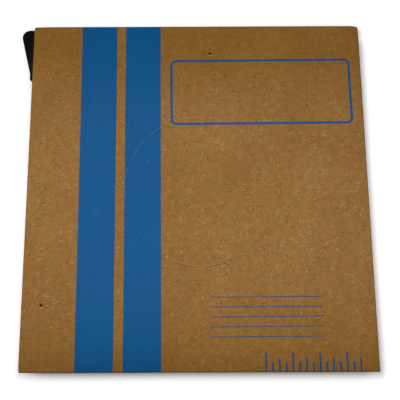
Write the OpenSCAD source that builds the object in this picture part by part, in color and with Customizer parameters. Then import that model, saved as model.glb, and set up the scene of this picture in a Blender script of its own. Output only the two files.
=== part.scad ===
// Flat dispenser carton of steel band, lying on its back face.
// Frame: origin at the middle of the back face, +X to the right of the printed face,
// +Y to its top edge, +Z out of the printed face. All sizes in millimetres.

/* [Carton] */
// Width of the printed face
carton_width = 340; // [330:1:360]
// Height of the printed face
carton_height = 349; // [345:1:370]
// Outside thickness of the carton
carton_depth = 27; // [26.5:0.5:32]
// Thickness of the corrugated board
board = 1.6; // [1.2:0.1:1.8]
// Inner radius of every fold
fold_inner = 0.4; // [0.2:0.1:0.6]
// Air between two layers of board
layer_gap = 0.15; // [0.1:0.05:0.3]
// How far raw edges stop short of the next face
edge_short = 0.4; // [0.2:0.1:1]
// How far the outer end flaps stop short of the walls' outer faces
flap_short = 0.5; // [0.2:0.1:1]
// How far the glue tab reaches up inside the right wall
glue_tab = 18; // [12:1:20]
// Length of the dust flaps behind the end flaps
dust_flap = 60; // [30:1:80]

/* [Knock-out] */
// Diameter of the perforated ring in the printed face
knockout_diameter = 152; // [120:1:180]
// How far the ring sits right of the middle
knockout_offset = 2.5; // [0:0.5:6]
// Number of cuts round the ring
knockout_cuts = 16; // [8:1:24]
// Uncut part between two cuts, in degrees
nick_angle = 4.5; // [3:0.5:8]
// Width of each cut
cut_width = 0.3; // [0.2:0.1:0.6]

/* [Band coil] */
// Width of the band
band_width = 19.05; // [12.7:0.05:19.1]
// Thickness of the band
band_thickness = 0.762; // [0.5:0.002:0.8]
// Length of the band
band_length = 30480; // [28000:10:31000]
// Room between the coil and the nearest wall or flap
coil_room = 16.5; // [10:0.5:20]
// Corner broken off each edge of the band
band_edge = 0.2; // [0.1:0.05:0.22]
// How deep the free end starts inside the outer turn
tail_inset = 0.1; // [0.06:0.02:0.2]
// Length of the free end that lies inside the outer turn
tail_root = 4; // [2:0.5:5]
// How far the free end stops below the mouth
tail_short = 12; // [6:1:20]

/* [Band guide] */
// How far the guide stands out of the left wall
guide_reach = 12.3; // [10:0.1:15]
// Length of the guide from its mouth to the low edge of the cut-out
guide_length = 52.7; // [48:0.1:60]
// Height of the solid foot above the cut-out edge
foot_height = 4.2; // [3:0.1:6]
// How far the nose stands out of the wall
nose_reach = 2.7; // [2.2:0.1:3.5]
// How far the nose overlaps the wall below the cut-out
nose_overlap = 2.6; // [2:0.1:4]
// Radius of the nose
nose_radius = 1.5; // [0.8:0.1:1.8]
// Radius of the outer top corner
corner_radius = 8; // [4:0.5:8.5]
// Thickness of the two cheeks
cheek = 1.2; // [0.9:0.1:1.4]
// Thickness of the slanted outer wall
shell = 1.4; // [1:0.1:2]
// Thickness of the inner lip, tongue and flange
plate = 1.2; // [0.9:0.1:1.4]
// Length of the inner lip at the mouth
lip_length = 20; // [10:1:24]
// Length of the tongue behind the left wall
tongue_length = 18; // [8:1:24]
// Length of the flange under the end flap
flange_length = 13; // [6:1:20]
// Play between the guide and the board
guide_gap = 0.2; // [0.15:0.05:0.3]
// Play between the foot and the free end of the band
tail_gap = 0.4; // [0.3:0.1:1]

/* [Hidden] */
$fn = 96;
over = 1;
half_w = carton_width / 2;
half_h = carton_height / 2;
fold_radius = board + fold_inner;
// Layers of the ends, from outside in: outer flap, inner flap, dust flap
inner_flap_out = half_h - board - layer_gap;
dust_flap_out = inner_flap_out - board - layer_gap;
side_half = dust_flap_out - fold_radius;
front_half = half_w - fold_radius;
outer_half = half_w - flap_short;
tab_out = half_w - board - layer_gap;
// Coil
coil_outer = min(tab_out - board, dust_flap_out - board) - coil_room;
coil_inner = sqrt(coil_outer * coil_outer - band_length * band_thickness / PI);
turns = round((coil_outer - coil_inner) / band_thickness);
turn_pitch = (coil_outer - coil_inner) / turns;
// Guide
guide_top = inner_flap_out - board - guide_gap;
guide_low_z = fold_radius + guide_gap;
guide_width = carton_depth - 2 * guide_low_z;
guide_in = -half_w + board + guide_gap + plate;
window_low = guide_top - guide_length;
foot_top = window_low + foot_height;
nose_x = -half_w - nose_reach;
nose_low = window_low - nose_overlap;
corner_x = -half_w - guide_reach + corner_radius;
corner_y = guide_top - corner_radius;
corner_far = sqrt(pow(nose_x - corner_x, 2) + pow(corner_y - foot_top, 2));
slant = atan2(nose_x - corner_x, corner_y - foot_top) + asin(corner_radius / corner_far);
slant_x = corner_x - corner_radius * cos(slant);
slant_y = corner_y - corner_radius * sin(slant);
inside_x = slant_x + shell / cos(slant);
// Free end of the band: a straight strip that leaves the outer turn and clears the foot
strip_outer = coil_outer - tail_inset;
pass_x = -guide_in - tail_gap;
pass_far = sqrt(pass_x * pass_x + foot_top * foot_top);
tail_angle = acos(strip_outer / pass_far) - atan2(foot_top, pass_x);
tail_end = (guide_top - tail_short + strip_outer * sin(tail_angle)) / cos(tail_angle);
tail_rise = carton_depth / 2 - board - tail_inset - band_width / 2;
tail_at_foot = (foot_top + strip_outer * sin(tail_angle)) / cos(tail_angle);
tail_pitch = atan2(tail_rise, (tail_at_foot + tail_end) / 2 + tail_root);

// Rectangle from one corner to the other, with all four corners rounded
module rounded(x_low, y_low, x_high, y_high, radius) {
    translate([x_low + radius, y_low]) square([x_high - x_low - 2 * radius, y_high - y_low]);
    translate([x_low, y_low + radius]) square([x_high - x_low, y_high - y_low - 2 * radius]);
    for (x = [x_low + radius, x_high - radius], y = [y_low + radius, y_high - radius])
        translate([x, y]) circle(r = radius);
}

// Board bent round four folds, seen along the folds
module folded(x_low, y_low, x_high, y_high) {
    difference() {
        rounded(x_low, y_low, x_high, y_high, fold_radius);
        rounded(x_low + board, y_low + board, x_high - board, y_high - board, fold_inner);
    }
}

module along_x(x_low, x_high) {
    translate([x_low, 0, 0]) rotate([90, 0, 90]) linear_extrude(height = x_high - x_low) children();
}

module along_y(y_low, y_high) {
    translate([0, y_high, 0]) rotate([90, 0, 0]) linear_extrude(height = y_high - y_low) children();
}

// Front with the left and right walls; the left one folds on into the back.
// The two front folds run on past the walls, as far as the dust flaps stand.
module wrap() {
    along_y(-side_half, side_half) {
        difference() {
            folded(-half_w, 0, half_w, carton_depth);
            translate([board, -over]) square([half_w, fold_radius + over]);
        }
        translate([half_w - board, edge_short]) square([board, carton_depth / 2]);
    }
    along_y(-dust_flap_out, dust_flap_out)
        difference() {
            folded(-half_w, 0, half_w, carton_depth);
            translate([-carton_width, -over])
                square([2 * carton_width, carton_depth - fold_radius + over]);
        }
}

// Back with the glue tab that stands up inside the right wall
module tab() {
    along_y(-side_half, side_half)
        intersection() {
            folded(-half_w, 0, tab_out, carton_depth);
            translate([0, -over]) square([half_w, glue_tab + over]);
        }
}

// Front with the outer flaps of both ends folded down from it, seen along the folds
module outer_flap_profile() {
    intersection() {
        folded(-half_h, -carton_depth, half_h, carton_depth);
        translate([-carton_height, edge_short]) square([2 * carton_height, carton_depth]);
    }
}

// The flaps reach out over the ends of the walls, where the front is wider than between its folds
module outer_flaps() {
    ear_low = dust_flap_out - layer_gap;
    along_x(-front_half, front_half) outer_flap_profile();
    difference() {
        along_x(-outer_half, outer_half) outer_flap_profile();
        translate([-carton_width, -ear_low, -over])
            cube([2 * carton_width, 2 * ear_low, carton_depth + 2 * over]);
    }
}

// Back with the inner flaps of both ends folded up from it
module inner_flaps() {
    along_x(-front_half, tab_out - fold_radius)
        intersection() {
            folded(-inner_flap_out, 0, inner_flap_out, 2 * carton_depth);
            translate([-carton_height, -over])
                square([2 * carton_height, carton_depth - board - edge_short + over]);
        }
}

// Side walls with the dust flaps folded in behind the end flaps
module dust_flaps() {
    dust_low = fold_radius + edge_short;
    translate([0, 0, dust_low]) linear_extrude(height = carton_depth - 2 * dust_low)
        difference() {
            folded(-half_w, -dust_flap_out, half_w, dust_flap_out);
            translate([dust_flap - half_w, -carton_height])
                square([2 * (half_w - dust_flap), 2 * carton_height]);
        }
}

// Cut-out in the left wall that the guide sits in: it takes the dust flap there with it
module guide_window() {
    translate([-half_w - over, window_low, fold_radius])
        cube([dust_flap + 2 * over, dust_flap_out + layer_gap / 2 - window_low,
            carton_depth - 2 * fold_radius]);
}

// Short arcs cut through the printed face, with uncut nicks between them
module perforation() {
    step = 360 / knockout_cuts;
    translate([knockout_offset, 0, carton_depth - board - over])
        for (i = [0 : knockout_cuts - 1])
            rotate([0, 0, i * step + nick_angle / 2])
                rotate_extrude(angle = step - nick_angle)
                    translate([knockout_diameter / 2 - cut_width / 2, 0])
                        square([cut_width, board + 2 * over]);
}

module carton() {
    color("#97703f")
        difference() {
            union() {
                wrap();
                tab();
                outer_flaps();
                inner_flaps();
                dust_flaps();
            }
            guide_window();
            perforation();
        }
}

// Turns of band seen from the end: each edge has its corners broken
module turn_profile() {
    low = [for (i = [0 : turns - 1]) each [
        [coil_inner + i * turn_pitch, board + band_edge],
        [coil_inner + i * turn_pitch + band_edge, board],
        [coil_inner + (i + 1) * turn_pitch - band_edge, board]]];
    high = [for (i = [turns - 1 : -1 : 0]) each [
        [coil_inner + (i + 1) * turn_pitch, board + band_width - band_edge],
        [coil_inner + (i + 1) * turn_pitch - band_edge, board + band_width],
        [coil_inner + i * turn_pitch + band_edge, board + band_width]]];
    polygon(concat(low, [[coil_outer, board + band_edge]], high,
        [[coil_inner, board + band_width - band_edge]]));
}

module band_coil() {
    color("#b9bcc0") {
        rotate_extrude() turn_profile();
        rotate([0, 0, tail_angle])
            translate([-strip_outer, -tail_root, board + tail_inset])
                rotate([tail_pitch, 0, 0])
                    cube([band_thickness, tail_end + tail_root, band_width]);
    }
}

// Outline of the guide seen from the printed face
module guide_outline() {
    polygon([
        [guide_in, guide_top],
        [corner_x, guide_top],
        [slant_x, slant_y],
        [nose_x, foot_top],
        [nose_x, nose_low + nose_radius],
        [nose_x + nose_radius, nose_low],
        [-half_w - guide_gap, nose_low],
        [-half_w - guide_gap, window_low],
        [guide_in, window_low]]);
    translate([corner_x, corner_y]) intersection() {
        circle(r = corner_radius);
        translate([-corner_radius, -corner_radius]) square([corner_radius, 2 * corner_radius]);
    }
    translate([nose_x + nose_radius, nose_low + nose_radius]) intersection() {
        circle(r = nose_radius);
        translate([-nose_radius, -nose_radius]) square(nose_radius);
    }
}

// Way of the band between the cheeks, open to the coil and at the mouth
module guide_way() {
    rise = guide_top + over - slant_y;
    fall = slant_y - foot_top;
    polygon([
        [inside_x + fall * tan(slant), foot_top],
        [guide_in + over, foot_top],
        [guide_in + over, guide_top - lip_length],
        [guide_in - plate, guide_top - lip_length],
        [guide_in - plate, guide_top + over],
        [inside_x - rise * tan(slant), guide_top + over]]);
}

module band_guide() {
    color("#15140f") {
        difference() {
            translate([0, 0, guide_low_z]) linear_extrude(height = guide_width) guide_outline();
            translate([0, 0, guide_low_z + cheek])
                linear_extrude(height = guide_width - 2 * cheek) guide_way();
        }
        translate([guide_in - plate, window_low - tongue_length, guide_low_z])
            cube([plate, tongue_length + foot_height, guide_width]);
        translate([guide_in - plate, guide_top - plate, guide_low_z])
            cube([plate + flange_length, plate, guide_width]);
    }
}

carton();
band_coil();
band_guide();
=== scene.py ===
# A flat dispenser carton of steel band, lying on its back face on a white floor.
# A black guide stands out of its left wall, and the wound band lies inside.
# All sizes are in metres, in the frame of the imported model.
import math

import bmesh
import bpy
from mathutils import Matrix, Vector, noise


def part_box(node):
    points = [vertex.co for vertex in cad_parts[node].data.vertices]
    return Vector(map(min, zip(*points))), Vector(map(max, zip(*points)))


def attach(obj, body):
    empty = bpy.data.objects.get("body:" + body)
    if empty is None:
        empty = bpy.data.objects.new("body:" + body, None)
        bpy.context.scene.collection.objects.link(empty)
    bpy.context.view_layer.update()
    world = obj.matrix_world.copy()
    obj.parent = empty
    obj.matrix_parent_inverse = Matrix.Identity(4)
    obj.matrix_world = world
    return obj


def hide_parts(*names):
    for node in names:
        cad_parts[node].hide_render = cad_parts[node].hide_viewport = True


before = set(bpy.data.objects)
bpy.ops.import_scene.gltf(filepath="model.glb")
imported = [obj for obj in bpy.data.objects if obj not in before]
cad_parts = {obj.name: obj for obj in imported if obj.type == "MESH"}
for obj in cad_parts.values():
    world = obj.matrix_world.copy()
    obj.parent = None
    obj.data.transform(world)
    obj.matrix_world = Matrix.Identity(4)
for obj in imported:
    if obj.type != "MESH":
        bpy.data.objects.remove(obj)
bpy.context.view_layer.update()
scene = bpy.context.scene


# Carton: the sheet
# One die-cut sheet of thin corrugated board, kraft on both sides. It is scored, folded round the
# coil and glued at the tab inside the right wall and at the two layers of end flap.
# A ring of short cuts in the front lets the middle be pushed out.
half_width, half_height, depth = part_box("carton")[1]
board = 0.0016
glue_gap = 0.00015
fold_radius = 0.002
fold_steps = 6
# A raw edge stops this far short of the face or fold beside it
raw_edge = 0.0004
# The ears at the ends of the front stop this far short of the carton's full width
ear_inset = 0.0005
tab_height = 0.018
dust_flap_length = 0.060
# The cut-out for the guide starts here and runs up to the end of the left wall
window_y = 0.11825
ring_centre = Vector((0.0025, 0, depth))
ring_radius = 0.076
# Each cut of the ring and the nick beside it share ring_parts steps of the circle
ring_cuts = 16
ring_parts = 15
nick_parts = 3
cut_width = 0.00014
disc_insets = (0.012, 0.020, 0.024)
panel_rows = 9
tolerance = 1e-5
weld = 1e-6
carton_sharp = math.radians(40)

layer = board + glue_gap
front_x = half_width - fold_radius
front_y = half_height - fold_radius
fold_top = depth - fold_radius
inner_flap_y = half_height - layer
inner_fold_y = inner_flap_y - fold_radius
dust_flap_y = inner_flap_y - layer
wall_y = dust_flap_y - fold_radius
ear_x = half_width - ear_inset
ear_y = dust_flap_y - glue_gap
tab_x = half_width - layer
back_end = tab_x - fold_radius
ring_inside = ring_radius - cut_width / 2
ring_outside = ring_radius + cut_width / 2
part_angle = math.tau / (ring_cuts * ring_parts)
quarter_turn = math.pi / 2
carton_corners = ((1, 1), (1, -1), (-1, 1), (-1, -1))
guide_corner = (-1, 1)

sheet = bmesh.new()


def near(first, second):
    return abs(first - second) < tolerance


def only(kind, parts):
    return [part for part in parts if isinstance(part, kind)]


def border(test=None):
    edges = [edge for edge in sheet.edges if edge.is_boundary]
    return [edge for edge in edges if test is None or all(test(vert.co) for vert in edge.verts)]


def nearest_face(place):
    return min(sheet.faces, key=lambda face: (face.calc_center_median() - place).length)


def draw_out(edges, reach=(0, 0, 0)):
    new = only(bmesh.types.BMVert, bmesh.ops.extrude_edge_only(sheet, edges=edges)["geom"])
    bmesh.ops.translate(sheet, verts=new, vec=reach)
    return new


def fold(edges, centre, axis, angle):
    turned = bmesh.ops.spin(sheet, geom=edges, cent=centre, axis=axis, angle=angle, steps=fold_steps)
    return only(bmesh.types.BMEdge, turned["geom_last"])


def cut_across(faces, place, normal):
    geometry = dict.fromkeys(faces)
    for face in faces:
        geometry.update(dict.fromkeys([*face.edges, *face.verts]))
    bmesh.ops.bisect_plane(sheet, geom=list(geometry), dist=weld, plane_co=place, plane_no=normal)


# The knock-out disc, then the ring of cuts and nicks round it
bmesh.ops.create_circle(
    sheet, cap_ends=True, segments=ring_cuts * ring_parts, radius=ring_inside,
    matrix=Matrix.Translation(ring_centre) @ Matrix.Rotation(part_angle / 2, 4, "Z"))
for inset in disc_insets:
    bmesh.ops.inset_region(sheet, faces=[nearest_face(ring_centre)], thickness=inset, use_even_offset=False)
outer_ring = draw_out(border())
ring_faces = [face for face in sheet.faces if sum(vert in outer_ring for vert in face.verts) == 2]
grow = ring_outside / ring_inside
bmesh.ops.scale(sheet, verts=outer_ring, vec=(grow, grow, 1), space=Matrix.Translation(-ring_centre))

# The rest of the front, drawn out from the ring to the four folds
panel_edge = draw_out(border())
for vert in panel_edge:
    ray = vert.co - ring_centre
    reach_x = (math.copysign(front_x, ray.x) - ring_centre.x) / ray.x if ray.x else math.inf
    reach_y = math.copysign(front_y, ray.y) / ray.y if ray.y else math.inf
    vert.co = ring_centre + ray * min(reach_x, reach_y)
for side_x, side_y in carton_corners:
    place = Vector((side_x * front_x, side_y * front_y, depth))
    min(panel_edge, key=lambda vert: (vert.co - place).length).co = place
spokes = [edge for edge in sheet.edges if sum(vert in panel_edge for vert in edge.verts) == 1]
bmesh.ops.subdivide_edges(sheet, edges=spokes, cuts=panel_rows)
cut_faces = []
for face in ring_faces:
    ray = face.calc_center_median() - ring_centre
    part = round(math.atan2(ray.y, ray.x) / part_angle) % ring_parts
    if min(part, ring_parts - part) > nick_parts // 2:
        cut_faces.append(face)
bmesh.ops.delete(sheet, geom=cut_faces, context="FACES")
for y in (-ear_y, -wall_y, window_y, wall_y, ear_y):
    cut_across(sheet.faces[:], (0, y, 0), (0, 1, 0))

# The right wall, down to its raw edge, and the left one, down to the fold of the back
for side, wall_foot in ((1, raw_edge), (-1, fold_radius)):
    wall_top = fold(border(lambda co: near(co.x, side * front_x) and abs(co.y) < ear_y + tolerance),
                    (side * front_x, 0, fold_top), (0, 1, 0), side * quarter_turn)
    wall = [edge for edge in wall_top if all(abs(vert.co.y) < wall_y + tolerance for vert in edge.verts)]
    draw_out(wall, (0, 0, wall_foot - fold_top))

# The back, and the glue tab that stands inside the right wall
fold(border(lambda co: near(co.x, -half_width) and near(co.z, fold_radius)),
     (-front_x, 0, fold_radius), (0, 1, 0), -quarter_turn)
draw_out(border(lambda co: near(co.x, -front_x) and near(co.z, 0)), (front_x + back_end, 0, 0))
fold(border(lambda co: near(co.x, back_end) and near(co.z, 0)),
     (back_end, 0, fold_radius), (0, 1, 0), -quarter_turn)
draw_out(border(lambda co: near(co.x, tab_x) and near(co.z, fold_radius)), (0, 0, tab_height - fold_radius))

# End flaps: the outer ones hang from the front, out to its ears, and the inner ones stand on the back
for side_x, side_y in carton_corners:
    ear = border(lambda co: near(co.x, side_x * front_x) and near(co.z, depth)
                 and side_y * co.y > ear_y - tolerance)
    draw_out(ear, (side_x * (ear_x - front_x), 0, 0))
for side in (1, -1):
    fold(border(lambda co: near(co.y, side * front_y) and near(co.z, depth)),
         (0, side * front_y, fold_top), (1, 0, 0), -side * quarter_turn)
    draw_out(border(lambda co: near(co.y, side * half_height) and near(co.z, fold_top)),
             (0, 0, raw_edge - fold_top))
    draw_out(border(lambda co: near(co.y, side * wall_y) and near(co.z, 0)),
             (0, side * (inner_fold_y - wall_y), 0))
    fold(border(lambda co: near(co.y, side * inner_fold_y) and near(co.z, 0)),
         (0, side * inner_fold_y, fold_radius), (1, 0, 0), side * quarter_turn)
    draw_out(border(lambda co: near(co.y, side * inner_flap_y) and near(co.z, fold_radius)),
             (0, 0, depth - board - raw_edge - fold_radius))

# The cut-out for the guide, then a dust flap at each wall end that is left
for wall_x in (-half_width, half_width):
    for height in (fold_radius + raw_edge, fold_top - raw_edge):
        wall = [face for face in sheet.faces if all(near(vert.co.x, wall_x) for vert in face.verts)]
        cut_across(wall, (0, 0, height), (0, 0, 1))
window = [face for face in sheet.faces
          if all(near(vert.co.x, -half_width) and vert.co.y > window_y - tolerance for vert in face.verts)]
bmesh.ops.delete(sheet, geom=window, context="FACES")
for side_x, side_y in carton_corners:
    if (side_x, side_y) == guide_corner:
        continue
    wall_end = border(lambda co: near(co.x, side_x * half_width) and near(co.y, side_y * wall_y)
                      and fold_radius + raw_edge / 2 < co.z < fold_top - raw_edge / 2)
    fold(wall_end, (side_x * front_x, side_y * wall_y, 0), (0, 0, 1), side_x * side_y * quarter_turn)
    flap_fold = border(lambda co: near(co.x, side_x * front_x) and near(co.y, side_y * dust_flap_y)
                       and fold_radius < co.z < fold_top)
    draw_out(flap_fold, (side_x * (fold_radius - dust_flap_length), 0, 0))

bmesh.ops.recalc_face_normals(sheet, faces=sheet.faces)
if nearest_face(ring_centre).normal.z < 0:
    bmesh.ops.reverse_faces(sheet, faces=sheet.faces)

# Handling: the front sags a little between its folds, the cut ring lifts between its nicks, most
# at its foot, the long folds waver and the corners are blunted
sag = 0.00035
lift = 0.00028
lift_reach = 0.014
lift_all_round = 0.55
lift_at_foot = 0.45
waver = 0.00022
waver_scale = 24
waver_seed = 3
corner_reach = 0.006
corner_crush = {(1, 1): 0.0012, (-1, 1): 0.0005, (1, -1): 0.0001, (-1, -1): 0.0005}
crush_down = 1.2
for vert in sheet.verts:
    x, y, z = vert.co
    if near(z, depth):
        vert.co.z -= sag * max(0, 1 - (x / front_x) ** 2) * (1 - (y / front_y) ** 2)
        ray = vert.co - ring_centre
        inside = ring_radius - math.hypot(ray.x, ray.y)
        if 0 < inside < lift_reach:
            turn = math.atan2(ray.y, ray.x)
            free = math.sin(turn * ring_cuts / 2) ** 2 * (1 - inside / lift_reach)
            vert.co.z += lift * free * (lift_all_round - lift_at_foot * math.sin(turn))
    wave = waver * (0.5 + 0.5 * noise.noise(Vector((x * waver_scale, y * waver_scale, waver_seed))))
    if z > fold_radius and abs(x) > front_x:
        vert.co.x -= math.copysign(wave, x)
    if z > fold_radius and abs(y) > front_y:
        vert.co.y -= math.copysign(wave, y)
    for (side_x, side_y), crush in corner_crush.items():
        corner = Vector((side_x * half_width, side_y * half_height, depth))
        push = max(0, 1 - (vert.co - corner).length / corner_reach) ** 2 * crush
        vert.co -= Vector((side_x, side_y, crush_down)) * push

# Board thickness: its outer verts get depth 0 and its inner ones 1, so raw edges can show flutes
inner_verts = set(sheet.verts)
bmesh.ops.solidify(sheet, geom=sheet.faces[:], thickness=board)
into_board = sheet.verts.layers.float.new("into_board")
liner_slot, printed_slot, cut_slot = range(3)
for vert in sheet.verts:
    vert[into_board] = vert in inner_verts
for face in sheet.faces:
    inner = sum(vert in inner_verts for vert in face.verts)
    middle = face.calc_center_median()
    on_front = middle.z > fold_top and (abs(middle.x) < front_x or abs(middle.y) > ear_y)
    on_flap = abs(middle.y) > half_height - layer / 2 and middle.z > raw_edge
    face.smooth = True
    face.material_index = liner_slot
    if 0 < inner < len(face.verts):
        face.material_index = cut_slot
    elif not inner and (on_front or on_flap):
        face.material_index = printed_slot


def add_object(name, data):
    thing = bpy.data.objects.new(name, data)
    scene.collection.objects.link(thing)
    return thing


def add_shape(name, shape):
    mesh = bpy.data.meshes.new(name)
    shape.to_mesh(mesh)
    shape.free()
    return add_object(name, mesh)


carton = add_shape("carton_board", sheet)
carton.data.set_sharp_from_angle(angle=carton_sharp)
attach(carton, "root")
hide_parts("carton")


# Carton: kraft liner
# Brown unbleached paper made of long fibres, with cloudy patches, dark shives and pale flecks.
# Toward both ends a painted shade darkens and yellows it, standing in for the light falling off away
# from the middle. The flutes behind it show through as faint upright ridges.
kraft_dark = (0.100, 0.040, 0.008, 1)
kraft_mid = (0.278, 0.134, 0.0345, 1)
kraft_pale = (0.520, 0.315, 0.125, 1)
# Painted shade toward both ends: its tint, the brightest place and the reach of the falloff
painted_end_shade = (0.885, 0.84, 0.56, 1)
brightest_y = -0.014
end_shade_reach = (0.08, 0.175)
patch_scale = 15
patch_weight = 0.26
cloud_scale = 150
cloud_weight = 0.30
fibre_scale = (640, 430, 640)
fibre_stir = 0.8
fibre_weight = 0.46
fleck_stretch = (0.38, 1, 1)
fleck_bend = 0.0016
fleck_bend_scale = 320
crowd_scale = 70
crowd_range = (0.36, 0.60)
crowd_loss_at_end = 0.5
dark_fleck = {"scale": 720, "size": 0.46, "rarity": 0.90}
dark_fleck_turns = (0.3, 1.2, 2.4)
dark_fleck_weight = -0.34
pale_fleck = {"scale": 640, "size": 0.42, "rarity": 0.90}
pale_fleck_turns = (0.8, 1.8, 2.9)
pale_fleck_weight = 0.30
pale_fleck_rise = 0.08
shive = {"scale": 60, "size": 0.055, "rarity": 0.62}
shive_weight = -0.6
dot_core = 0.4
dye_scale = 95
dye_range = (0.3, 0.7)
dye_warm = (1.025, 0.985, 0.97, 1)
dye_cool = (0.975, 1.015, 1.02, 1)
flute_pitch = 0.0034
flute_rise = 0.08
grain_strength = 0.5
grain_depth = 0.0003


def put(tree, kind, inputs=None, **settings):
    node = tree.nodes.new("ShaderNode" + kind)
    for name, value in settings.items():
        setattr(node, name, value)
    for name, value in (inputs or {}).items():
        if isinstance(value, bpy.types.NodeSocket):
            tree.links.new(value, node.inputs[name])
        else:
            node.inputs[name].default_value = value
    return node


def maths(tree, operation, first, second=0.0, third=0.0):
    node = put(tree, "Math", {0: first, 1: second, 2: third}, operation=operation)
    return node.outputs[0]


def joined(tree, operation, *values):
    result = values[0]
    for value in values[1:]:
        result = maths(tree, operation, result, value)
    return result


def step_up(tree, value, low, high):
    node = put(tree, "MapRange", {"Value": value, "From Min": low, "From Max": high},
               interpolation_type="SMOOTHSTEP")
    return node.outputs[0]


def blend(tree, share, first, second, blend_type="MIX"):
    node = put(tree, "Mix", {0: share, 6: first, 7: second}, data_type="RGBA", blend_type=blend_type)
    return node.outputs[2]


def mottle(tree, vector, scale, detail, roughness=0.5, distortion=0.0):
    node = put(tree, "TexNoise", {"Vector": vector, "Scale": scale, "Detail": detail,
                                  "Roughness": roughness, "Distortion": distortion})
    return node.outputs[0]


def speckle(tree, vector, scale, size, rarity):
    cells = put(tree, "TexVoronoi", {"Vector": vector, "Scale": scale})
    picked = put(tree, "SeparateColor", {0: cells.outputs["Color"]}).outputs[0]
    chosen = maths(tree, "GREATER_THAN", picked, rarity)
    return maths(tree, "MULTIPLY", step_up(tree, cells.outputs["Distance"], size, size * dot_core), chosen)


def strewn_flecks(tree, vector, turns, **fleck):
    flecks = []
    for turn in turns:
        laid = put(tree, "Mapping", {"Vector": vector, "Rotation": (0, 0, turn), "Scale": fleck_stretch})
        flecks.append(speckle(tree, laid.outputs[0], **fleck))
    return joined(tree, "MAXIMUM", *flecks)


kraft_paper = bpy.data.node_groups.new("kraft_paper", "ShaderNodeTree")
kraft_paper.interface.new_socket("Place", in_out="INPUT", socket_type="NodeSocketVector")
kraft_paper.interface.new_socket("Color", in_out="OUTPUT", socket_type="NodeSocketColor")
for output in ("Tone", "Toward end", "Flutes", "Height"):
    kraft_paper.interface.new_socket(output, in_out="OUTPUT", socket_type="NodeSocketFloat")
tree = kraft_paper
place = tree.nodes.new("NodeGroupInput").outputs["Place"]
axes = put(tree, "SeparateXYZ", {0: place})
from_brightest = maths(tree, "ABSOLUTE", maths(tree, "SUBTRACT", axes.outputs["Y"], brightest_y))
toward_end = step_up(tree, from_brightest, *end_shade_reach)

# Patches, clouds and fibres swing the tone about its middle
patches = mottle(tree, place, patch_scale, detail=3, roughness=0.55)
clouds = mottle(tree, place, cloud_scale, detail=3, roughness=0.6)
stretched = put(tree, "Mapping", {"Vector": place, "Scale": fibre_scale}).outputs[0]
fibres = mottle(tree, stretched, 1, detail=3, roughness=0.65, distortion=fibre_stir)
tone = 0.5
for swing, weight in ((patches, patch_weight), (clouds, cloud_weight), (fibres, fibre_weight)):
    tone = maths(tree, "MULTIPLY_ADD", swing, weight, maths(tree, "SUBTRACT", tone, weight / 2))

# Flecks are short bent fibres that lie in crowds, with fewer toward the ends, and shives are specks
crowds = step_up(tree, mottle(tree, place, crowd_scale, detail=1), *crowd_range)
crowds = maths(tree, "MULTIPLY", crowds, maths(tree, "MULTIPLY_ADD", toward_end, -crowd_loss_at_end, 1))
bend = put(tree, "TexNoise", {"Vector": place, "Scale": fleck_bend_scale, "Detail": 1}).outputs["Color"]
bent = put(tree, "VectorMath", {0: bend, 1: (fleck_bend, fleck_bend, fleck_bend), 2: place},
           operation="MULTIPLY_ADD").outputs[0]
dark_flecks = maths(tree, "MULTIPLY", strewn_flecks(tree, bent, dark_fleck_turns, **dark_fleck), crowds)
pale_flecks = maths(tree, "MULTIPLY", strewn_flecks(tree, bent, pale_fleck_turns, **pale_fleck), crowds)
shives = speckle(tree, place, **shive)
flutes = maths(tree, "SINE", maths(tree, "MULTIPLY", axes.outputs["X"], math.tau / flute_pitch))
height = maths(tree, "MULTIPLY_ADD", pale_flecks, pale_fleck_rise, tone)
height = maths(tree, "MULTIPLY_ADD", flutes, flute_rise, height)
for marks, weight in ((dark_flecks, dark_fleck_weight), (pale_flecks, pale_fleck_weight),
                      (shives, shive_weight)):
    tone = maths(tree, "MULTIPLY_ADD", marks, weight, tone)

# The tone picks the brown, which a faint dye tints, and the painted shade toward the ends then darkens
ramp = put(tree, "ValToRGB", {0: tone})
ramp.color_ramp.elements[0].color = kraft_dark
ramp.color_ramp.elements[1].color = kraft_pale
ramp.color_ramp.elements.new(0.5).color = kraft_mid
dye_share = step_up(tree, mottle(tree, place, dye_scale, detail=1), *dye_range)
dyed = blend(tree, 1.0, ramp.outputs[0], blend(tree, dye_share, dye_warm, dye_cool), "MULTIPLY")
# Painted shade: darker and yellower toward both ends, where the light falls off
end_shaded = blend(tree, toward_end, dyed, painted_end_shade, "MULTIPLY")
group_out = tree.nodes.new("NodeGroupOutput")
for output, value in (("Color", end_shaded), ("Tone", tone), ("Toward end", toward_end),
                      ("Flutes", flutes), ("Height", height)):
    tree.links.new(value, group_out.inputs[output])


def new_finish(name):
    finish = bpy.data.materials.new(name)
    finish.use_nodes = True
    return finish, finish.node_tree, finish.node_tree.nodes["Principled BSDF"]


def object_place(tree):
    return put(tree, "TexCoord").outputs["Object"]


def lay_kraft(tree):
    return put(tree, "Group", {"Place": object_place(tree)}, node_tree=kraft_paper)


def raise_grain(tree, shader, height, strength, distance):
    bump = put(tree, "Bump", {"Height": height, "Strength": strength, "Distance": distance})
    tree.links.new(bump.outputs[0], shader.inputs["Normal"])


liner, tree, shader = new_finish("kraft_liner")
paper = lay_kraft(tree)
tree.links.new(paper.outputs["Color"], shader.inputs["Base Color"])
shader.inputs["Roughness"].default_value = 0.85
shader.inputs["Specular IOR Level"].default_value = 0.12
raise_grain(tree, shader, paper.outputs["Height"], grain_strength, grain_depth)
carton.data.materials.append(liner)


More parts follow.
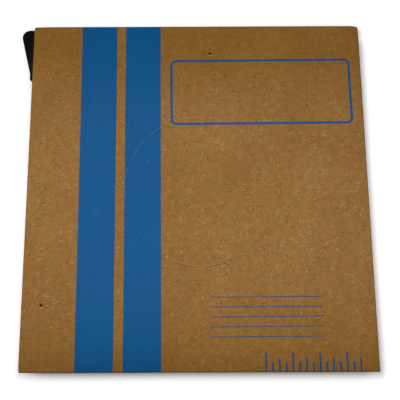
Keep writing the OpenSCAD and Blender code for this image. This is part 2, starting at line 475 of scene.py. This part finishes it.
# Carton: printed front
# Two wide blue stripes run from end to end, over the folds and down the outer flaps. A blank label
# field, write-in lines and an inch scale are printed with them, in one pass and a little askew.
# The ink is thin, so the kraft shows in it, and it piles up along the edges of each mark.
print_askew = 0.0055
stripe_edges = ((-0.1179, -0.0816), (-0.0725, -0.0364))
field_low = Vector((-0.0265, 0.0665, 0))
field_high = Vector((0.1590, 0.1365, 0))
field_round = 0.006
field_line = 0.0024
write_left = 0.0105
write_right = 0.1180
write_low = -0.1420
write_pitch = 0.0092
write_count = 5
write_thick = 0.0008
inch = 0.0254
scale_left = 0.0620
scale_pitch = inch / 4
scale_steps = 14
scale_right = scale_left + scale_steps * scale_pitch
tick_thick = 0.0016
tick_length = 0.009
longer_ticks = ((2, 0.004), (4, 0.005))
ink_blue = (0.0080, 0.091, 0.252)
ink_pale = (0.105, 0.230, 0.360, 1)
painted_ink_end_shade = (0.15, 0.90, 0.93, 1)
ink_least = 0.65
ink_with_tone = 0.7
edge_bleed = 0.00016
bleed_scale = 900
edge_pile = 0.0007
pile_core = 0.3
pile_weight = 0.25
pinhole = {"scale": 120, "size": 0.16, "rarity": 0.94}
pinhole_weight = 0.5

printed, tree, shader = new_finish("printed_kraft")
paper = lay_kraft(tree)
place = object_place(tree)
axes = put(tree, "SeparateXYZ", {0: place})
askew_x = maths(tree, "MULTIPLY_ADD", axes.outputs["Y"], print_askew, axes.outputs["X"])
askew_y = maths(tree, "MULTIPLY_ADD", axes.outputs["X"], -print_askew, axes.outputs["Y"])
above_fold = maths(tree, "SUBTRACT", axes.outputs["Z"], fold_top)


def depth_in(tree, value, low, high):
    return maths(tree, "MINIMUM", maths(tree, "SUBTRACT", value, low), maths(tree, "SUBTRACT", high, value))


def steps_from(tree, value, first, pitch):
    return maths(tree, "MULTIPLY_ADD", value, 1 / pitch, 0.5 - first / pitch)


def off_nearest(tree, steps, pitch):
    return maths(tree, "MULTIPLY_ADD", maths(tree, "FRACT", steps), pitch, -pitch / 2)


# Each mark is a distance into its ink, and the marks join by the largest of them
stripes = [depth_in(tree, askew_x, *edges) for edges in stripe_edges]

field_middle = (field_low + field_high) / 2
field_straight = (field_high - field_low) / 2 - Vector((field_round, field_round, 0))
from_middle = put(tree, "CombineXYZ", {
    "X": maths(tree, "ABSOLUTE", maths(tree, "SUBTRACT", askew_x, field_middle.x)),
    "Y": maths(tree, "ABSOLUTE", maths(tree, "SUBTRACT", askew_y, field_middle.y))}).outputs[0]
past_corner = put(tree, "VectorMath", {0: from_middle, 1: field_straight}, operation="SUBTRACT").outputs[0]
past_corner = put(tree, "VectorMath", {0: past_corner, 1: (0, 0, 0)}, operation="MAXIMUM").outputs[0]
past_corner = put(tree, "VectorMath", {0: past_corner}, operation="LENGTH").outputs["Value"]
field = depth_in(tree, past_corner, field_round - field_line, field_round)

write_top = write_low + (write_count - 1) * write_pitch
rows = steps_from(tree, askew_y, write_low, write_pitch)
write_lines = joined(
    tree, "MINIMUM",
    depth_in(tree, off_nearest(tree, rows, write_pitch), -write_thick / 2, write_thick / 2),
    depth_in(tree, askew_x, write_left, write_right),
    depth_in(tree, askew_y, write_low - write_pitch / 2, write_top + write_pitch / 2))

ticks = steps_from(tree, askew_x, scale_left, scale_pitch)
tick_number = maths(tree, "FLOOR", ticks)
length = tick_length
for every, extra in longer_ticks:
    on_mark = maths(tree, "LESS_THAN", maths(tree, "FLOORED_MODULO", tick_number, every), 0.5)
    length = maths(tree, "MULTIPLY_ADD", on_mark, extra, length)
inch_scale = joined(
    tree, "MINIMUM",
    depth_in(tree, off_nearest(tree, ticks, scale_pitch), -tick_thick / 2, tick_thick / 2),
    maths(tree, "SUBTRACT", length, maths(tree, "ADD", askew_y, half_height)),
    depth_in(tree, askew_x, scale_left - scale_pitch / 2, scale_right + scale_pitch / 2),
    above_fold)

into_ink = joined(tree, "MAXIMUM", *stripes, field, write_lines, inch_scale)
bleed = mottle(tree, place, bleed_scale, detail=2)
bleed = maths(tree, "MULTIPLY_ADD", bleed, 4 * edge_bleed, -2 * edge_bleed)
ink = step_up(tree, maths(tree, "ADD", into_ink, bleed), -edge_bleed, edge_bleed)
piled = maths(tree, "MULTIPLY", step_up(tree, into_ink, edge_pile, edge_pile * pile_core), pile_weight)
cover = maths(tree, "MULTIPLY_ADD", paper.outputs["Tone"], ink_with_tone, ink_least)
cover = maths(tree, "SUBTRACT", cover, piled)
ink_color = put(tree, "VectorMath", {0: ink_blue, "Scale": cover}, operation="SCALE").outputs[0]
pinholes = maths(tree, "MULTIPLY", speckle(tree, place, **pinhole), pinhole_weight)
ink_color = blend(tree, pinholes, ink_color, ink_pale)
# Painted shade on the ink toward both ends, darker and with less red
ink_color = blend(tree, paper.outputs["Toward end"], ink_color, painted_ink_end_shade, "MULTIPLY")
surface = blend(tree, ink, paper.outputs["Color"], ink_color)

# Painted shade darkens the lowest strip of the front and the top of the flap below it
low_shade_strip = (-0.144, -0.178)
low_shade_flap = 0.009
painted_low_shade = (0.80, 0.79, 0.78, 1)
low_shade = maths(tree, "MULTIPLY", step_up(tree, axes.outputs["Y"], *low_shade_strip),
                step_up(tree, above_fold, -low_shade_flap, 0))
surface = blend(tree, low_shade, surface, painted_low_shade, "MULTIPLY")

# Painted shade darkens both folds across the ends, where they turn away from the light
crease_across = (0.0002, 0.0012)
crease_up = (-0.0002, 0.0008)
crease_shade_weight = 0.5
painted_crease_shade = (0.035, 0.026, 0.012, 1)
past_front = maths(tree, "SUBTRACT", maths(tree, "ABSOLUTE", axes.outputs["Y"]), front_y)
crease_shade = joined(tree, "MULTIPLY", step_up(tree, past_front, *crease_across),
                step_up(tree, above_fold, *crease_up), crease_shade_weight)
surface = blend(tree, crease_shade, surface, painted_crease_shade)

# Pale lines along the short cuts at the upper left and the foot of the knock-out ring: torn fibres, with a
# painted highlight on the lit cut edges at the upper left, and a painted shadow under the lowest cuts
cut_share = (0.11, 0.89)
cut_fade = 0.02
ragged_scale = 420
ragged_range = (0.30, 0.60)
torn_inward = 0.0006
torn_width = (0.0009, 0.0003)
lit_upward = (-0.05, 0.05)
lit_leftward = (0.035, 0.0)
torn_foot = (-0.058, -0.068)
torn_and_highlight_weight = 0.34
torn_fibre = (0.56, 0.34, 0.13, 1)
torn_ink = (0.10, 0.23, 0.37, 1)
shadow_outward = 0.0003
shadow_width = (0.0007, 0.0002)
shadow_foot = (-0.060, -0.072)
cut_shadow_weight = 0.45
painted_cut_shadow = (0.075, 0.032, 0.009, 1)
flat_place = put(tree, "CombineXYZ", {"X": axes.outputs["X"], "Y": axes.outputs["Y"]}).outputs[0]
from_ring = put(tree, "VectorMath", {0: flat_place, 1: (ring_centre.x, ring_centre.y, 0)},
                operation="SUBTRACT").outputs[0]
ring_axes = put(tree, "SeparateXYZ", {0: from_ring})
ring_distance = put(tree, "VectorMath", {0: from_ring}, operation="LENGTH").outputs["Value"]
turn = maths(tree, "ARCTAN2", ring_axes.outputs["Y"], ring_axes.outputs["X"])
along = maths(tree, "FRACT", maths(tree, "MULTIPLY_ADD", turn, ring_cuts / math.tau, ring_cuts))
in_cut = step_up(tree, depth_in(tree, along, *cut_share), -cut_fade, cut_fade)
ragged = mottle(tree, place, ragged_scale, detail=2)


def off_circle(radius):
    return maths(tree, "ABSOLUTE", maths(tree, "SUBTRACT", ring_distance, radius))


# At the upper left the pale line is a painted highlight on the lit cut edges; at the foot it is torn fibre
upper_left = maths(tree, "MULTIPLY", step_up(tree, ring_axes.outputs["Y"], *lit_upward),
                   step_up(tree, ring_axes.outputs["X"], *lit_leftward))
opened = maths(tree, "MAXIMUM", upper_left, step_up(tree, ring_axes.outputs["Y"], *torn_foot))
torn_and_highlight = joined(tree, "MULTIPLY", step_up(tree, off_circle(ring_radius - torn_inward), *torn_width),
              in_cut, step_up(tree, ragged, *ragged_range), opened, torn_and_highlight_weight)
# Painted shadow outside the lowest cuts, where the lifted disc shades the panel
cut_shadow = joined(tree, "MULTIPLY", step_up(tree, off_circle(ring_radius + shadow_outward), *shadow_width),
               in_cut, step_up(tree, ring_axes.outputs["Y"], *shadow_foot), cut_shadow_weight)
surface = blend(tree, cut_shadow, surface, painted_cut_shadow)
surface = blend(tree, torn_and_highlight, surface, blend(tree, ink, torn_fibre, torn_ink))

# Two dents knocked into the liner, with painted shade inside them and torn fibres along the lower lip
dents = ((0.0141, 0.1433), (-0.1504, -0.1119))
dent_radius = 0.0017
dent_rim = (1.6 * dent_radius, 1.2 * dent_radius)
dent_sink = 2
painted_dent_shade = (0.062, 0.012, 0.0, 1)
lip_weight = 0.4


def ragged_spot(x, y):
    away = put(tree, "VectorMath", {0: flat_place, 1: (x, y, 0)}, operation="DISTANCE").outputs["Value"]
    return step_up(tree, maths(tree, "MULTIPLY_ADD", ragged, dent_radius, away), *dent_rim)


relief = paper.outputs["Height"]
for x, y in dents:
    pit = ragged_spot(x, y)
    lip = maths(tree, "MULTIPLY", ragged_spot(x, y - dent_radius), lip_weight)
    surface = blend(tree, lip, surface, torn_fibre)
    # Painted shade inside the pit
    surface = blend(tree, pit, surface, painted_dent_shade)
    relief = maths(tree, "MULTIPLY_ADD", pit, -dent_sink, relief)
tree.links.new(surface, shader.inputs["Base Color"])
shader.inputs["Roughness"].default_value = 0.8
shader.inputs["Specular IOR Level"].default_value = 0.12
raise_grain(tree, shader, relief, grain_strength, grain_depth)
carton.data.materials.append(printed)


# Carton: raw edges
# Where the board is cut, its fluted middle shows between the two liners.
# The hollows beside the flutes get painted shade, because they run on into the board.
flute_swing = 0.30
flute_wall = (0.06, 0.16)
between_liners = (0.14, 0.86)
liner_fade = 0.04
hollow_shade_weight = 0.85
painted_hollow_shade = (0.020, 0.009, 0.003, 1)
raw, tree, shader = new_finish("cut_board")
paper = lay_kraft(tree)
inward = put(tree, "Attribute", attribute_name="into_board").outputs["Fac"]
medium = maths(tree, "MULTIPLY_ADD", paper.outputs["Flutes"], flute_swing, 0.5)
off_medium = maths(tree, "ABSOLUTE", maths(tree, "SUBTRACT", inward, medium))
# Painted shade in the flute hollows
hollow_shade = joined(tree, "MULTIPLY", step_up(tree, off_medium, *flute_wall),
                step_up(tree, depth_in(tree, inward, *between_liners), -liner_fade, liner_fade),
                hollow_shade_weight)
surface = blend(tree, hollow_shade, paper.outputs["Color"], painted_hollow_shade)
tree.links.new(surface, shader.inputs["Base Color"])
shader.inputs["Roughness"].default_value = 0.9
shader.inputs["Specular IOR Level"].default_value = 0.1
carton.data.materials.append(raw)


# Band guide
# One piece of glossy black plastic, moulded, that grips the low edge of the cut-out in the left wall.
# The free end of the band comes out of its open mouth. Its edges are slightly rounded.
guide_rounding = 0.0003
guide_rounding_steps = 3
guide_flat = math.radians(1)
guide_edge_angle = math.radians(30)
guide_sharp = math.radians(50)
moulding_scale = 260
moulding_strength = 0.12
moulding_depth = 0.0002
rubbed_scale = 40
rubbed_range = (0.45, 0.75)
plastic_black = (0.0030, 0.0016, 0.0006, 1)
plastic_rubbed = (0.0046, 0.0026, 0.0012, 1)
plastic_roughness = (0.15, 0.35)

guide_shape = bmesh.new()
guide_shape.from_mesh(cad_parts["band_guide"].data)
bmesh.ops.remove_doubles(guide_shape, verts=guide_shape.verts, dist=weld)
bmesh.ops.dissolve_limit(guide_shape, angle_limit=guide_flat, verts=guide_shape.verts,
                         edges=guide_shape.edges)
guide_edges = [edge for edge in guide_shape.edges if edge.calc_face_angle(0) > guide_edge_angle]
bmesh.ops.bevel(guide_shape, geom=guide_edges, offset=guide_rounding, offset_type="OFFSET",
                segments=guide_rounding_steps, profile=0.5, affect="EDGES", material=-1, clamp_overlap=True)
for face in guide_shape.faces:
    face.smooth = True
guide = add_shape("guide_moulding", guide_shape)
guide.data.set_sharp_from_angle(angle=guide_sharp)
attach(guide, "root")
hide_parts("band_guide")


def vary_roughness(tree, shader, value, low, high):
    tree.links.new(maths(tree, "MULTIPLY_ADD", value, high - low, low), shader.inputs["Roughness"])


black_plastic, tree, shader = new_finish("black_plastic")
place = object_place(tree)
rubbed = mottle(tree, place, rubbed_scale, detail=5, roughness=0.7)
shade = blend(tree, step_up(tree, rubbed, *rubbed_range), plastic_black, plastic_rubbed)
tree.links.new(shade, shader.inputs["Base Color"])
vary_roughness(tree, shader, rubbed, *plastic_roughness)
shader.inputs["Specular IOR Level"].default_value = 0.025
moulding = mottle(tree, place, moulding_scale, detail=3)
raise_grain(tree, shader, moulding, moulding_strength, moulding_depth)
guide.data.materials.append(black_plastic)


# Band coil
# Bright stainless band, cold rolled and slit, wound flat turn on turn inside the carton.
# Rolling leaves fine lines along its length.
line_scale = (14, 14, 2600)
line_strength = 0.15
line_depth = 0.00005
smear_scale = 30
steel_dark = (0.40, 0.40, 0.41, 1)
steel_bright = (0.62, 0.62, 0.63, 1)
steel_roughness = (0.2, 0.4)
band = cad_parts["band_coil"]
band_steel, tree, shader = new_finish("band_steel")
place = object_place(tree)
rolled = put(tree, "Mapping", {"Vector": place, "Scale": line_scale}).outputs[0]
lines = mottle(tree, rolled, 1, detail=4, roughness=0.6)
tree.links.new(blend(tree, lines, steel_dark, steel_bright), shader.inputs["Base Color"])
shader.inputs["Metallic"].default_value = 1
vary_roughness(tree, shader, mottle(tree, place, smear_scale, detail=3), *steel_roughness)
raise_grain(tree, shader, lines, line_strength, line_depth)
band.data.materials.clear()
band.data.materials.append(band_steel)


# Floor, light and camera
# A flat white floor under a long soft box, and a second lamp from the upper left for the shadow.
# The camera looks down on the printed face from just below its middle.
floor_reach = 4
floor_color = (0.97, 0.97, 0.97, 1)
shadow_right = 0.004
least_glow = 0.02
near_glow = 0.34
near_reach = (0.0, 0.016)
right_glow = 0.11
right_reach = (0.0105, 0.0145)
far_glow = 0.53
far_reach = (0.014, 0.06)
key_side = Vector((-0.60, 0.26, 1))
world_light = 0.18
white = (1, 1, 1, 1)

floor_shape = bmesh.new()
bmesh.ops.create_grid(floor_shape, x_segments=1, y_segments=1, size=floor_reach)
floor = add_shape("floor", floor_shape)


def seen_directly(tree):
    path = put(tree, "LightPath")
    rays = [path.outputs[f"Is {ray} Ray"] for ray in ("Camera", "Glossy", "Transmission")]
    return joined(tree, "MAXIMUM", *rays)


# Seen directly, the floor glows to white away from the carton and glows less close round it, a painted
# shadow over the lamps' own shadow. On the right, where the shadow falls, the glow starts further out by
# shadow_right.
floor_white = bpy.data.materials.new("floor_white")
floor_white.use_nodes = True
tree = floor_white.node_tree
tree.nodes.clear()
axes = put(tree, "SeparateXYZ", {0: object_place(tree)})
off_x = maths(tree, "ABSOLUTE", maths(tree, "SUBTRACT", axes.outputs["X"], shadow_right / 2))
off_x = maths(tree, "SUBTRACT", off_x, half_width + shadow_right / 2)
off_y = maths(tree, "SUBTRACT", maths(tree, "ABSOLUTE", axes.outputs["Y"]), half_height)
away = maths(tree, "MAXIMUM", off_x, off_y)
past_right = maths(tree, "SUBTRACT", axes.outputs["X"], half_width)
glow = least_glow
for distance, reach, strength in ((away, near_reach, near_glow), (past_right, right_reach, right_glow),
                                  (away, far_reach, far_glow)):
    glow = maths(tree, "MULTIPLY_ADD", step_up(tree, distance, *reach), strength, glow)
glow = maths(tree, "MULTIPLY", glow, seen_directly(tree))
matt_white = put(tree, "BsdfDiffuse", {"Color": floor_color})
lit_white = put(tree, "Emission", {"Color": white, "Strength": glow})
both = put(tree, "AddShader", {0: matt_white.outputs[0], 1: lit_white.outputs[0]})
put(tree, "OutputMaterial", {"Surface": both.outputs[0]})
floor.data.materials.append(floor_white)

soft_box_data = bpy.data.lights.new("soft_box", "AREA")
soft_box_data.shape = "RECTANGLE"
soft_box_data.size = 0.7
soft_box_data.size_y = 0.16
soft_box_data.energy = 1.22
soft_box = add_object("soft_box", soft_box_data)
soft_box.location = (-0.060, -0.022, 0.38)
soft_box.visible_camera = False

key_data = bpy.data.lights.new("key", "SUN")
key_data.energy = 0.8
key_data.angle = math.radians(18)
key = add_object("key", key_data)
key.rotation_euler = key_side.to_track_quat("Z", "Y").to_euler()

world = bpy.data.worlds.new("studio")
scene.world = world
world.use_nodes = True
tree = world.node_tree
background = tree.nodes["Background"]
background.inputs["Color"].default_value = white
world_strength = maths(tree, "MULTIPLY_ADD", seen_directly(tree), 1 - world_light, world_light)
tree.links.new(world_strength, background.inputs["Strength"])

camera_data = bpy.data.cameras.new("camera")
camera_data.lens = 43.83
camera_data.shift_x = 0.04
camera = add_object("camera", camera_data)
camera.location = (-0.0133, -0.0886, 0.5018)
camera.rotation_euler = (math.radians(9.318), math.radians(0.062), math.radians(-0.221))
scene.camera = camera
scene.view_settings.view_transform = "Standard"
